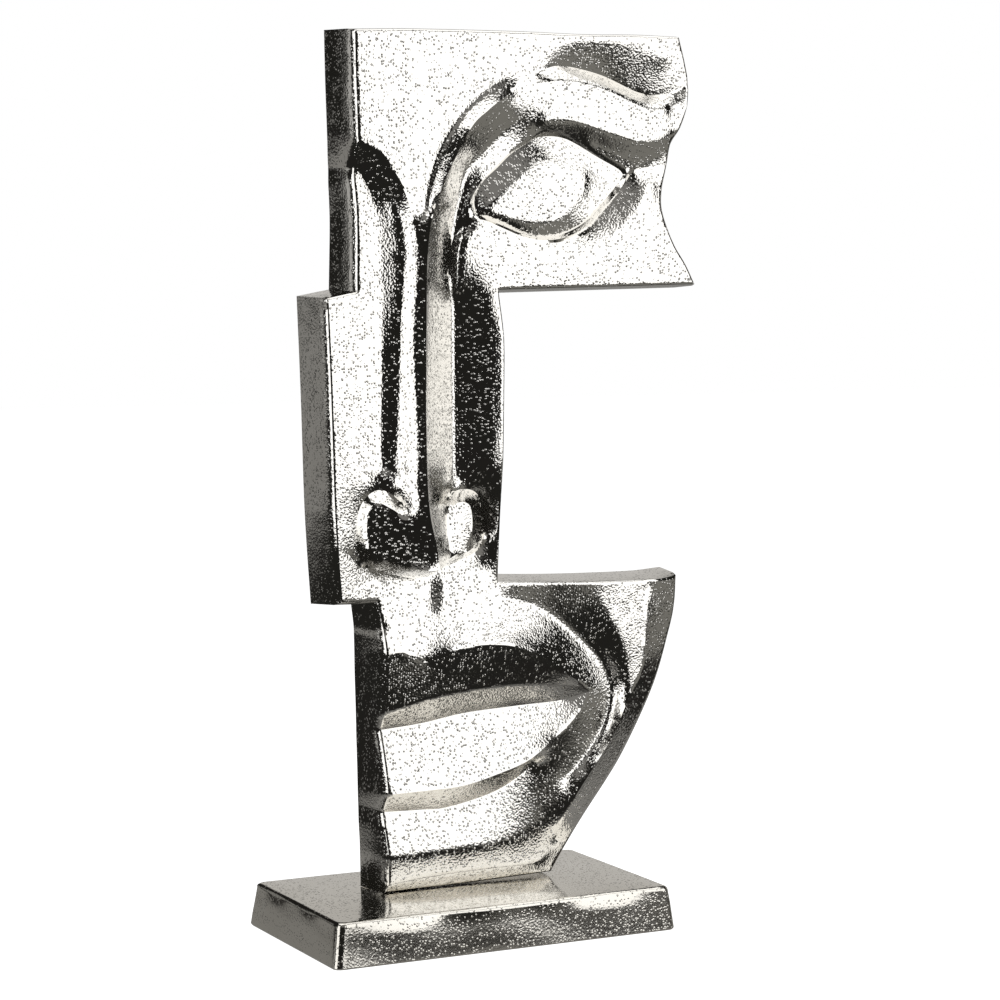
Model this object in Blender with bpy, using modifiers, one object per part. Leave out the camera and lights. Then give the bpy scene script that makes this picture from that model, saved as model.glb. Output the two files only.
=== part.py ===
# Cast metal half face standing on a small block plinth, 0.49 m tall.
#
# Two separate pieces, named parts of one sculpture:
#   face    one upright casting, a thick slab carved on the front with half a face
#   plinth  one cast block that the foot of the face stands on
#
# Every size below is in millimetres; MM turns it into metres where a mesh is made.
# X runs to the right of the front view, the front looks along -Y, Z is up, and
# zero is the middle of the plinth's underside. The face is drawn with its heights
# counted from its own foot, and its object is lifted onto the plinth.
import math

import bmesh
import bpy
import numpy as np
from mathutils import Vector, kdtree
from mathutils.geometry import delaunay_2d_cdt

MM = 0.001
SEAT_GAP = 0.3            # air between the foot of the face and the plinth

# Plinth sizes
PLINTH_LENGTH = 200.0     # along X, at its top
PLINTH_DEPTH = 114.6      # along Y, at its top
PLINTH_HEIGHT = 24.0
PLINTH_DRAFT = 2.8        # each side leans out by this much towards the underside
PLINTH_EDGE = 1.6         # rounding of its edges

# Face sizes
FACE_HEIGHT = 467.0       # from its foot to its top right corner
SLAB_THICKNESS = 30.8     # from the flat of the forehead to the plain back
BACK_PLANE = 20.0         # Y of that back, a little behind the plinth's middle
CHAMFER_DEPTH = 6.0       # the lighter strip just behind the front edge
CHAMFER_SHARE = 0.45      # share of the side's draft that lies in that strip
MESH_PITCH = 6.5          # spacing of the carved front's net
SOFTNESS = 1.35           # how far a soft line of the carving is rounded over

# The carving is drawn for a face this tall, and grows and shrinks with it
DRAWN_HEIGHT = 467.0
SHARE = FACE_HEIGHT / DRAWN_HEIGHT

# The slab's front edge, clockwise from its top left corner. Each side is a line
# of (x, z, proud): x from the plinth's middle, z above the foot, and proud the
# height of the carved surface in front of the face plane. The number beside it is
# the draft, how far the slab's back stands out past its front on that side.
SIDES = [
    ([(-67, 463.5, -1), (-29, 465, 0), (30, 466, 0), (73, 466, 0), (105, 467, 0),
      (131, 467, -1)], 2.0),
    ([(131, 467, -1), (135, 454, -1.5), (138, 442, -3), (136, 429, 0), (132, 417, -1),
      (127, 408, -3), (125, 396, -4), (121.5, 382, -3), (121.5, 370, -2),
      (128, 353, -1), (136, 341, -1), (142, 330, -1)], 2.5),
    ([(142, 330, -1), (80, 328.5, 0), (18, 327, -1)], 2.2),
    ([(18, 327, -1), (21, 300, 0), (21, 267, 0), (21, 235, -1), (20, 202, -3),
      (19.5, 167, -5)], 2.5),
    ([(19.5, 167, -5), (48, 165.5, -4), (76, 164.5, -1), (116, 164, -1),
      (134, 165, -6.5)], 2.2),
    ([(134, 165, -6.5), (133, 149, -6.5), (129, 133, -6), (118, 102, -5.2),
      (97, 64, -4.8), (73, 31, -6), (63, 15, -8), (55, 1.7, -9)], 3.0),
    ([(55, 1.7, -9), (10, 0.5, -9), (-48, 0, -8)], 0.0),
    ([(-48, 0, -8), (-48, 5.5, -3), (-48.3, 20, -2.4), (-48.5, 27, -3.6),
      (-49, 36, -5.5), (-49.2, 44.5, -8.5), (-49.4, 50, -4.5), (-49.5, 55.5, 0),
      (-49.7, 66, -2), (-50, 77, -5), (-50.2, 84, -7.5), (-50.3, 89.5, -9.5),
      (-50.4, 95, -5.5), (-50.5, 100, -1.5), (-51, 118, 1), (-51.2, 132, 2),
      (-51.4, 140, 0.5), (-51.7, 146, -2.6), (-53.5, 160, -4)], 4.3),
    ([(-53.5, 160, -4), (-77, 161, 1)], 3.5),
    ([(-77, 161, 1), (-79, 189, 0.6), (-80.5, 218, 0.2), (-82, 271, 0),
      (-84, 322.5, 0)], 4.3),
    ([(-84, 322.5, 0), (-65, 326, -4)], 2.0),
    ([(-65, 326, -4), (-64.3, 359, -5), (-64.5, 373, -6), (-65, 384, -7),
      (-65, 391, -9), (-65.3, 399, -4.5), (-65.5, 409, -1), (-66.5, 439, -1),
      (-67, 463.5, -1)], 4.6),
]

# The carving: named lines of (x, z, proud) that its surface runs through. Crisp
# lines stay sharp, soft ones are rounded over.
CRISP_LINES = {
    "nose and brow crest": [
        (-28.5, 178.5, 21.5), (-30.5, 192, 21), (-33.5, 214, 18.5), (-32.5, 254, 13),
        (-30, 299, 8), (-28, 348, 6), (-22, 376, 6.5), (-4, 411, 6.5), (8, 423, 6),
        (21, 432, 4.5), (34, 442, 1.5), (47, 447, -2), (60, 449, -4.5), (84, 445, -6.5),
        (109, 436, -6.5), (126, 436, -5), (135, 439, -3.5)],
    "left brow arch": [
        (-64, 405, -1), (-53, 400, 0), (-46, 390, 0.5), (-39, 378, 1.5), (-34, 362, 3),
        (-31, 346, 4.5)],
    "upper lid": [
        (0, 365, -3), (2, 375, -3), (9, 386, -3), (18, 394, -3.5), (27, 402, -4),
        (37, 408, -4), (46, 412, -3.5), (62, 411, -3), (83, 401, -3), (100, 393, -4)],
    "lid corner crease": [(100, 393, -4), (111, 394, -4.5), (122, 395.5, -4)],
    "lower lid": [
        (0, 365, -3), (5, 365, -1.5), (11, 364, -1), (21, 360, -0.5), (32, 356, 0),
        (44, 354, 0), (56, 355, 0), (67, 359, 0), (76, 365, 0), (86, 375, -0.5),
        (96, 385, -2), (100, 393, -4)],
    "eyeball edge": [
        (6, 368.6, -4.6), (5.5, 375.5, -5.5), (10.5, 385.2, -5.5), (19.2, 392.9, -5.5),
        (28, 400.8, -5.5), (37.6, 406.5, -5.5), (46.3, 410.3, -5.5), (61.6, 409.3, -5),
        (82.3, 399.4, -5), (96.5, 392.2, -5.5), (94.6, 386.8, -4.5), (85, 376.4, -3.5),
        (75, 366.3, -3), (66.3, 360.6, -3), (55.6, 356.7, -3), (44.3, 355.7, -3),
        (32.7, 357.6, -3), (21.8, 361.6, -3.3), (11.6, 365.4, -4), (6, 368.6, -4.6)],
    "hollow under the lid": [
        (50, 352.6, -0.8), (57, 353.2, -2.4), (68, 357.4, -4), (77.3, 363.6, -5.5),
        (87.4, 373.7, -6), (97.5, 383.7, -6), (102.5, 391, -5.5)],
    "tear line": [(-9, 336, -8.5), (-7, 353, -7.5), (-3, 361, -5.5), (0, 365, -3)],
    "nose base lip": [
        (-61.7, 183.5, 7.5), (-56.6, 183, 11), (-51, 182.4, 13), (-43.5, 179.8, 18),
        (-35.4, 178.2, 21.5), (-28.5, 178.3, 21.5), (-22, 180, 14), (-15.4, 182.4, 6),
        (-8.5, 184.6, 2.5), (-2.4, 185.2, 1.5), (3.5, 187.5, -2), (9.5, 191, -6.5),
        (14, 194, -9.5)],
    "under the nose": [
        (-72, 187, -1), (-66, 180.5, -2), (-59.2, 178.5, -4), (-53.6, 177, -6),
        (-41.9, 173.5, -7), (-31.3, 171.3, -8), (-20.5, 172, -8), (-14.4, 175, -8),
        (-7.1, 178, -8), (-1, 180, -8.5), (8.7, 184.5, -9), (15, 190.5, -8)],
    "left nostril": [
        (-61.7, 183.5, 7.5), (-63.8, 191.4, 5), (-63.6, 202, 4), (-61.5, 210, 4),
        (-57.3, 214, 5), (-52.8, 212, 8), (-48.4, 208.8, 11), (-45.7, 204.7, 13.5)],
    "left nostril rim": [
        (-64.5, 182, -1.5), (-66.6, 192, -1.2), (-67, 202.6, -1), (-64.6, 212.5, -1),
        (-59.6, 218.5, -0.5), (-53.8, 220.5, 0.5), (-47.7, 218, 2.5), (-43.7, 212, 6.5)],
    "right nostril": [
        (-14, 186, 3.5), (-14.8, 196, 2), (-14.3, 206, 1), (-9.7, 211.2, 1),
        (-5.1, 212.4, 1.5), (-0.9, 210.1, 1.5), (0.6, 202.4, 1.5), (0, 194.2, 1.5),
        (-2.2, 187.5, 1.5)],
    "right nostril rim": [
        (-12, 213.5, -7), (-6, 217, -9), (0.6, 218.5, -10), (7.6, 217, -10.5),
        (12.5, 211, -10.5), (14.7, 202, -10), (14, 194, -9.5)],
    "upper lip edge": [
        (-49.5, 132, 2), (-42, 133, 2.5), (-28, 127.5, 1.5), (-14, 132, 4),
        (1, 134, 5.5), (12, 134, 6), (25, 132, 6), (43, 125, 4.5), (58, 115, 2),
        (70, 108, -1), (76, 103, -2.5)],
    "upper lip foot": [
        (-49, 100, -1.5), (-37, 103, -0.5), (-25, 106, 0), (2.5, 109, 0), (28, 110, 0),
        (61.4, 107.6, -1.5), (76, 103, -2.5)],
    "lower lip top": [
        (-48.5, 89.5, -9.5), (-24.7, 91.4, -9.5), (0.8, 95.1, -9.5), (32.7, 97, -9),
        (57.6, 98.5, -6), (69, 101, -4), (76, 103, -2.5)],
    "lower lip edge": [
        (76, 103, -2.5), (66, 90, -0.5), (52, 79, 1), (36, 68, 1), (18, 62, 1),
        (-4, 57, 1), (-26, 56, 1), (-47.5, 55.5, 0)],
    "under lip groove": [
        (-47.5, 44.5, -8.5), (-27, 44, -8), (-10, 44, -8), (17, 50, -7), (33, 58, -6),
        (42, 65, -5.5)],
    "chin edge": [
        (-47, 5.5, -3), (-25.6, 7.6, -3), (-3, 8.7, -3), (26.8, 8.8, -3.5),
        (41.8, 9.2, -4.5), (49.2, 11.8, -5.5), (56.7, 20.9, -6.5)],
    "jaw edge": [
        (113, 162.5, -1.6), (111, 149, -0.4), (109, 127, 1), (107, 114, 1.6),
        (98, 98, 2.4), (89, 79, 2.4), (81, 67, 1.6), (66, 45, -0.5), (56, 28, -4)],
}
SOFT_LINES = {
    "forehead beside the crest": [
        (-26, 368, 1), (-22, 388, 0.5), (-13, 409, 0.5), (4, 429, 0.5), (21, 443, 0.5),
        (36, 451, 0.5)],
    "temple hollow rim": [
        (46, 454, 0), (58, 462, 0), (83, 464, 0), (107, 462, 0), (123, 456, 0)],
    "groove beside the nose": [
        (-5.5, 224, -11), (-5.5, 252, -11), (-5.5, 298, -11), (-6, 322, -10),
        (-7.5, 342, -9), (-7, 357, -8), (-4, 373, -7), (0, 391, -5.5), (10, 401, -4),
        (19, 410, -3), (28, 417, -1.5), (40, 422, 0)],
    "brow band top": [
        (28, 431, 2), (38, 436, 2), (50, 440, 2.5), (62, 441, 2.5), (83, 437, 2.5),
        (106, 428, 2.5), (122, 427, 1.5)],
    "brow band low": [
        (44, 418, 2), (53.4, 418.6, 2.5), (65.8, 417.8, 3), (78.3, 414.3, 3),
        (90.9, 411.3, 3), (103.7, 408.3, 2.5), (116, 410, 1.5), (125, 413, 0)],
    "brow band foot": [
        (78, 408, -2), (91, 402, -2.5), (104, 398.5, -3), (118, 400, -3.5)],
    "eyeball swell": [
        (9, 369, -0.8), (20, 379, 0), (32, 388, 0.2), (43, 396.5, -0.3), (56, 392.5, -0.2),
        (70.5, 387, -0.4), (64, 376, 0.5), (55, 365.5, 0.2), (42, 363, 0.4), (30, 363.5, 0.2),
        (19, 365.5, -0.2), (9, 369, -0.8)],
    "eyeball top": [(30, 374, 1), (45, 379, 1.4), (58, 378, 1)],
    "hollow's outer rim": [
        (62, 343, 0), (74, 346.5, 0), (87, 353.5, 0), (98, 364, 0), (108, 375.5, -0.3),
        (114, 386, -1.2)],
    "cheek panel rim": [
        (-5, 327, -4), (-6, 339, -3), (-5, 349, -2), (0, 357, -1.5), (8, 360.5, -1)],
    "cheek panel": [
        (5, 331, -2.5), (8, 342, -1), (37, 341, 0), (76, 336, 0), (108, 345, 0),
        (120, 360, -1)],
    "column right roll": [(13, 321, -1.2), (14, 300, -1.5), (14, 267, -1.5), (14, 229, -2)],
    "left hollow floor": [
        (-62, 393, -9), (-59, 387, -8), (-55, 378, -6.5), (-52, 359, -5),
        (-51.5, 322, -3.6), (-51.5, 290, -3), (-51.6, 254, -2), (-51.5, 232, -1)],
    "nose left foot": [
        (-44, 375, -5), (-40, 363, -3.8), (-39, 342, -2.6), (-40.5, 322, -2.2),
        (-42, 299, -1.2), (-43.5, 254, 2), (-44.5, 230, 3.8)],
    "nose left shoulder": [
        (-33, 342, 4.2), (-34.4, 322, 5.2), (-36, 299, 6.3), (-37.2, 254, 11),
        (-38.5, 228, 14.5), (-39, 208, 17)],
    "muzzle": [(-48, 148, -2), (-29, 149, -3), (-11, 153, -2.5), (7, 152, -2), (22, 146, -1)],
    "philtrum groove": [(-20.5, 168, -8), (-21.5, 160, -6.3), (-23.5, 153, -4)],
    "philtrum ridge": [(-13.5, 168, -5.6), (-14.5, 160, -3.9), (-16.5, 153, -2.2)],
    "smile fold": [
        (23, 157, -5), (42, 153, -6), (56, 145, -6.5), (70, 134, -7), (84, 121, -7),
        (91, 109, -7), (92, 97, -6.5), (89, 84, -6), (78, 70, -5), (61, 55, -4)],
    "smile fold outer rim": [
        (76, 161.5, -1.6), (87, 146, -0.3), (96, 124, 1), (97.5, 107, 1.8), (93, 89, 1.8)],
    "chin": [(-46, 21, -2.2), (-11, 22, -2.2), (20, 23, -2.4), (43, 31, -3.2)],
}


def spaced(points, step):
    """A smooth line through the points, as rows of x, z, proud about a step apart."""
    pts = [np.array(p, float) * SHARE for p in points]
    pts = [2 * pts[0] - pts[1]] + pts + [2 * pts[-1] - pts[-2]]
    out = []
    for i in range(1, len(pts) - 2):
        a, b, c, d = pts[i - 1], pts[i], pts[i + 1], pts[i + 2]
        n = max(1, int(round(math.dist(b[:2], c[:2]) / step)))
        for k in range(n):
            t = k / n
            q = 0.5 * (2 * b + (c - a) * t + (2 * a - 5 * b + 4 * c - d) * t ** 2
                       + (3 * b - a - 3 * c + d) * t ** 3)
            q[2] = b[2] + (c[2] - b[2]) * t
            out.append(q)
    out.append(pts[-2])
    return out


def front_edge(step):
    """The closed front edge, and the outward draft of each of its points."""
    ring, side_of = [], []
    for number, (points, draft) in enumerate(SIDES):
        run = spaced(points, step)[:-1]
        ring += run
        side_of += [number] * len(run)
    count = len(ring)
    drafts = []
    for i in range(count):
        before, here, after = ring[i - 1], ring[i], ring[(i + 1) % count]
        d1, d2 = SIDES[side_of[i - 1]][1], SIDES[side_of[i]][1]
        n1 = np.array([-(here[1] - before[1]), here[0] - before[0]])
        n2 = np.array([-(after[1] - here[1]), after[0] - here[0]])
        n1 /= np.linalg.norm(n1)
        n2 /= np.linalg.norm(n2)
        cross = n1[0] * n2[1] - n1[1] * n2[0]
        if abs(cross) > 0.6:
            move = np.linalg.solve(np.array([n1, n2]), np.array([d1, d2]))
        else:
            mid = n1 + n2
            move = mid / np.linalg.norm(mid) * (d1 + d2) / 2
        drafts.append(move)
    return np.array(ring), np.array(drafts)


def inside(points, ring):
    """Which of the points lie inside the ring."""
    x, z = points[:, 0], points[:, 1]
    hit = np.zeros(len(points), bool)
    for (x1, z1), (x2, z2) in zip(ring, np.roll(ring, -1, axis=0)):
        if z1 == z2:
            continue
        spans = (z1 > z) != (z2 > z)
        hit ^= spans & (x < (x2 - x1) * (z - z1) / (z2 - z1) + x1)
    return hit


def conjugate(rows, cols, weight, free, start, extra, pull):
    """Settle the free heights on a net of springs, some also pulled to a height."""
    count = len(start)
    diag = np.bincount(rows, weight, count) + np.bincount(cols, weight, count) + extra

    def spread(v):
        out = diag * v
        out -= np.bincount(rows, weight * v[cols], count)
        out -= np.bincount(cols, weight * v[rows], count)
        return out

    height = start.copy()
    rest = np.where(free, extra * pull - spread(height), 0.0)
    near = np.where(free, rest / diag, 0.0)
    step = near.copy()
    old = rest @ near
    for _ in range(1500):
        if old < 1e-10:
            break
        moved = np.where(free, spread(step), 0.0)
        size = old / (step @ moved)
        height += size * step
        rest -= size * moved
        near = np.where(free, rest / diag, 0.0)
        new = rest @ near
        step = near + (new / old) * step
        old = new
    return height


def carved_net(pitch):
    """The carved front as points (x, z, proud) and triangles; the edge comes first."""
    ring, drafts = front_edge(pitch)
    points = [tuple(p) for p in ring]
    kind = ["crisp"] * len(points)
    edges = [(i, (i + 1) % len(ring)) for i in range(len(ring))]
    near_edge = kdtree.KDTree(len(ring))
    for i, p in enumerate(ring):
        near_edge.insert((p[0], p[1], 0), i)
    near_edge.balance()
    for lines, name in ((CRISP_LINES, "crisp"), (SOFT_LINES, "soft")):
        for line in lines.values():
            last = None
            run = np.array(spaced(line, pitch * 0.85))
            for p, within in zip(run, inside(run[:, :2], ring[:, :2])):
                far = near_edge.find((p[0], p[1], 0))[2]
                if far < 0.22 * pitch or not within:
                    last = None
                    continue
                points.append(tuple(p))
                kind.append(name)
                if last is not None:
                    edges.append((last, len(points) - 1))
                last = len(points) - 1
    tree = kdtree.KDTree(len(points))
    for i, p in enumerate(points):
        tree.insert((p[0], p[1], 0), i)
    tree.balance()
    left, low = ring[:, :2].min(axis=0)
    right, high = ring[:, :2].max(axis=0)
    rows = np.arange(low, high, pitch * 0.866)
    grid = np.array([(x + (k % 2) * pitch / 2, z) for k, z in enumerate(rows)
                     for x in np.arange(left, right, pitch)])
    grid = grid[inside(grid, ring[:, :2])]
    grid = [g for g in grid if tree.find((g[0], g[1], 0))[2] > 0.62 * pitch]
    known = len(points)
    flat = [Vector(p[:2]) for p in points] + [Vector(g) for g in grid]
    verts, _, faces, origin, _, _ = delaunay_2d_cdt(flat, edges, [], 1, 1e-4)
    x = np.array([v[0] for v in verts])
    z = np.array([v[1] for v in verts])
    height = np.zeros(len(verts))
    pinned = np.zeros(len(verts), bool)
    sharp = np.zeros(len(verts), bool)
    front = [0] * len(ring)
    for i, names in enumerate(origin):
        for n in names:
            if n < len(ring):
                front[n] = i
        given = [n for n in names if n < known]
        if given:
            height[i] = points[given[0]][2]
            pinned[i] = True
            sharp[i] = any(kind[n] == "crisp" for n in given)
    tris = np.array([f for f in faces if len(f) == 3])
    a, b, c = tris.T
    rows, cols, weight = [], [], []
    area = np.zeros(len(verts))
    for i, j, k in ((a, b, c), (b, c, a), (c, a, b)):
        ux, uz, vx, vz = x[i] - x[k], z[i] - z[k], x[j] - x[k], z[j] - z[k]
        twice = np.abs(ux * vz - uz * vx) + 1e-9
        rows.append(i)
        cols.append(j)
        weight.append(np.clip((ux * vx + uz * vz) / twice, 0.02, 8) / 2)
        area += np.bincount(k, twice / 6, len(verts))
    rows, cols, weight = map(np.concatenate, (rows, cols, weight))
    none = np.zeros(len(verts))
    height = conjugate(rows, cols, weight, ~pinned, height, none, none)
    pull = area / SOFTNESS ** 2
    height = conjugate(rows, cols, weight, ~sharp, height, pull, height)
    return ring, drafts, front, x, z, height, tris


def face_mesh():
    """The whole casting as one closed mesh."""
    ring, drafts, front, x, z, height, tris = carved_net(MESH_PITCH)
    face_plane = BACK_PLANE - SLAB_THICKNESS
    verts = [(x[i] * MM, (face_plane - height[i]) * MM, z[i] * MM) for i in range(len(x))]
    faces = []
    for a, b, c in tris:
        turn = (x[b] - x[a]) * (z[c] - z[a]) - (z[b] - z[a]) * (x[c] - x[a])
        faces.append((a, b, c) if turn > 0 else (a, c, b))
    rings = [front]
    for share, level in ((CHAMFER_SHARE, None), (1.0, BACK_PLANE)):
        start = len(verts)
        for p, move in zip(ring, drafts):
            y = face_plane - p[2] + CHAMFER_DEPTH if level is None else level
            verts.append(((p[0] + move[0] * share) * MM, y * MM, (p[1] + move[1] * share) * MM))
        rings.append(list(range(start, start + len(ring))))
    count = len(ring)
    for outer, inner in zip(rings[1:], rings[:-1]):
        for i in range(count):
            j = (i + 1) % count
            faces.append((inner[i], inner[j], outer[j], outer[i]))
    flat = [Vector((verts[i][0] / MM, verts[i][2] / MM)) for i in rings[-1]]
    loop = [(i, (i + 1) % count) for i in range(count)]
    back_pts, _, back_faces, origin, _, _ = delaunay_2d_cdt(flat, loop, [], 1, 1e-5)
    for face in back_faces:
        a, b, c = [rings[-1][origin[i][0]] for i in face]
        turn = ((verts[b][0] - verts[a][0]) * (verts[c][2] - verts[a][2])
                - (verts[b][2] - verts[a][2]) * (verts[c][0] - verts[a][0]))
        faces.append((a, b, c) if turn < 0 else (a, c, b))
    return verts, faces


def add_object(name, verts, faces, material, group):
    mesh = bpy.data.meshes.new(name)
    mesh.from_pydata(verts, [], faces)
    shape = bmesh.new()
    shape.from_mesh(mesh)
    bmesh.ops.triangulate(shape, faces=[f for f in shape.faces if len(f.verts) > 3])
    bmesh.ops.recalc_face_normals(shape, faces=shape.faces)
    shape.to_mesh(mesh)
    shape.free()
    mesh.materials.append(material)
    mesh.shade_smooth()
    thing = bpy.data.objects.new(name, mesh)
    group.objects.link(thing)
    return thing


def metal(name, colour, roughness):
    material = bpy.data.materials.new(name)
    material.use_nodes = True
    shader = material.node_tree.nodes["Principled BSDF"]
    shader.inputs["Base Color"].default_value = (*colour, 1)
    shader.inputs["Roughness"].default_value = roughness
    shader.inputs["Metallic"].default_value = 1.0
    return material


for thing in list(bpy.context.scene.objects):
    bpy.data.objects.remove(thing, do_unlink=True)
group = bpy.data.collections.new("metal_face_sculpture")
bpy.context.scene.collection.children.link(group)

# Upright casting, its foot a hair above the plinth
verts, faces = face_mesh()
face = add_object("face", verts, faces, metal("cast_silver_metal", (0.63, 0.60, 0.55), 0.28), group)
face.data.set_sharp_from_angle(angle=math.radians(32))
face.location.z = (PLINTH_HEIGHT + SEAT_GAP) * MM

# Plinth: a cast block that leans out towards its underside, edges softly rounded
bpy.ops.mesh.primitive_cube_add(size=1, location=(0, 0, PLINTH_HEIGHT / 2 * MM))
plinth = bpy.context.object
plinth.name = plinth.data.name = "plinth"
for corner in plinth.data.vertices:
    out = PLINTH_DRAFT if corner.co.z < 0 else 0.0
    corner.co.x = math.copysign(PLINTH_LENGTH / 2 + out, corner.co.x) * MM
    corner.co.y = math.copysign(PLINTH_DEPTH / 2 + out, corner.co.y) * MM
    corner.co.z = math.copysign(PLINTH_HEIGHT / 2, corner.co.z) * MM
plinth.data.materials.append(metal("cast_silver_metal_plinth", (0.60, 0.57, 0.52), 0.25))
for home in list(plinth.users_collection):
    home.objects.unlink(plinth)
group.objects.link(plinth)
round_over = plinth.modifiers.new("softened edges", "BEVEL")
round_over.width = PLINTH_EDGE * MM
round_over.segments = 3
round_over.limit_method = "ANGLE"
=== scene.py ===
import math

import bmesh
import bpy
import numpy as np
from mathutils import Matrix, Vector, kdtree
from mathutils.geometry import delaunay_2d_cdt


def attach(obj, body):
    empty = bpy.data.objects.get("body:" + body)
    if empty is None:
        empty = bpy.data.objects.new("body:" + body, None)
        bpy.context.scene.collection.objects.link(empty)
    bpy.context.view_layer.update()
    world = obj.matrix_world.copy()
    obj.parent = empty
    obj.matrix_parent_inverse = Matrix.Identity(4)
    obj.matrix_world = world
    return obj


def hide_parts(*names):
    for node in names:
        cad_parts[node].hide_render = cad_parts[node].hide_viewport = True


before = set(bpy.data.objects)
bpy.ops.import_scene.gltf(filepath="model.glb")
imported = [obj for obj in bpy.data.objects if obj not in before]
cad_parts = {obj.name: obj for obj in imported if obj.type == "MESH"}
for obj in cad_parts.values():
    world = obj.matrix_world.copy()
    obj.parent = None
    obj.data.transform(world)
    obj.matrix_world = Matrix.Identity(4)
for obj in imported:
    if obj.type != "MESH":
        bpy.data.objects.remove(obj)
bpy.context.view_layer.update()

# The face: one upright sand casting in pale metal with a bright nickel skin. Its
# front is carved with half a face, its sides lean out a little to the back so that
# it leaves the mould, and it stands on its foot on the plinth. Sizes in millimetres.
MM = 0.001
SEAT = 24.3               # height of the foot, a hair above the plinth's top
SLAB_THICKNESS = 30.8     # from the flat of the forehead to the plain back
BACK_PLANE = 20.0         # Y of that back
CHAMFER_DEPTH = 6.0       # the lighter strip just behind the front edge
CHAMFER_SHARE = 0.45      # share of the side's draft that lies in that strip
MESH_PITCH = 1.25         # spacing of the carved front's net
SOFTNESS = 1.35           # how far a soft line of the carving is rounded over
EDGE_ROWS = (0.5, 1.2)    # rows of the net that carry the rubbed roll of the front edge
EDGE_ROLL = 0.6           # how far that roll falls back at the edge itself
RUBBED_REACH = 1.5        # how far each side of a crisp line the skin is rubbed smooth
LINE_RUBBED = 0.85        # how smooth the crisp lines are rubbed, of 1
EDGE_RUBBED = 0.7         # the same for the front edge
WALL_RUBBED = 0.35        # and for the sides and back
SHARP_ANGLE = math.radians(38)  # corners that turn by more than this stay crisp
FACE_BRIGHT = (0.84, 0.825, 0.79)
FACE_DULL = (0.74, 0.72, 0.68)
FACE_ROUGHNESS = 0.08
FACE_GRAIN_HEIGHT = 0.26

# The slab's front edge, clockwise from its top left corner. Each side is a line
# of (x, z, proud): x from the plinth's middle, z above the foot, and proud the
# height of the carved surface in front of the face plane. The number beside it is
# the draft, how far the slab's back stands out past its front on that side.
SIDES = [
    ([(-67, 463.5, -1), (-29, 465, 0), (30, 466, 0), (73, 466, 0), (105, 467, 0),
      (131, 467, -1)], 2.0),
    ([(131, 467, -1), (135, 454, -1.5), (138, 442, -3), (136, 429, 0), (132, 417, -1),
      (127, 408, -3), (125, 396, -4), (121.5, 382, -3), (121.5, 370, -2),
      (128, 353, -1), (136, 341, -1), (142, 330, -1)], 2.5),
    ([(142, 330, -1), (80, 328.5, 0), (18, 327, -1)], 2.2),
    ([(18, 327, -1), (21, 300, 0), (21, 267, 0), (21, 235, -1), (20, 202, -3),
      (19.5, 167, -5)], 2.5),
    ([(19.5, 167, -5), (48, 165.5, -4), (76, 164.5, -1), (116, 164, -1),
      (134, 165, -6.5)], 2.2),
    ([(134, 165, -6.5), (133, 149, -6.5), (129, 133, -6), (118, 102, -5.2),
      (97, 64, -4.8), (73, 31, -6), (63, 15, -8), (55, 1.7, -9)], 3.0),
    ([(55, 1.7, -9), (10, 0.5, -9), (-48, 0, -8)], 0.0),
    ([(-48, 0, -8), (-48, 5.5, -3), (-48.3, 20, -2.4), (-48.5, 27, -3.6),
      (-49, 36, -5.5), (-49.2, 44.5, -8.5), (-49.4, 50, -4.5), (-49.5, 55.5, 0),
      (-49.7, 66, -2), (-50, 77, -5), (-50.2, 84, -7.5), (-50.3, 89.5, -9.5),
      (-50.4, 95, -5.5), (-50.5, 100, -1.5), (-51, 118, 1), (-51.2, 132, 2),
      (-51.4, 140, 0.5), (-51.7, 146, -2.6), (-53.5, 160, -4)], 4.3),
    ([(-53.5, 160, -4), (-77, 161, 1)], 3.5),
    ([(-77, 161, 1), (-79, 189, 0.6), (-80.5, 218, 0.2), (-82, 271, 0),
      (-84, 322.5, 0)], 4.3),
    ([(-84, 322.5, 0), (-65, 326, -4)], 2.0),
    ([(-65, 326, -4), (-64.3, 359, -5), (-64.5, 373, -6), (-65, 384, -7),
      (-65, 391, -9), (-65.3, 399, -4.5), (-65.5, 409, -1), (-66.5, 439, -1),
      (-67, 463.5, -1)], 4.6),
]

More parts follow.
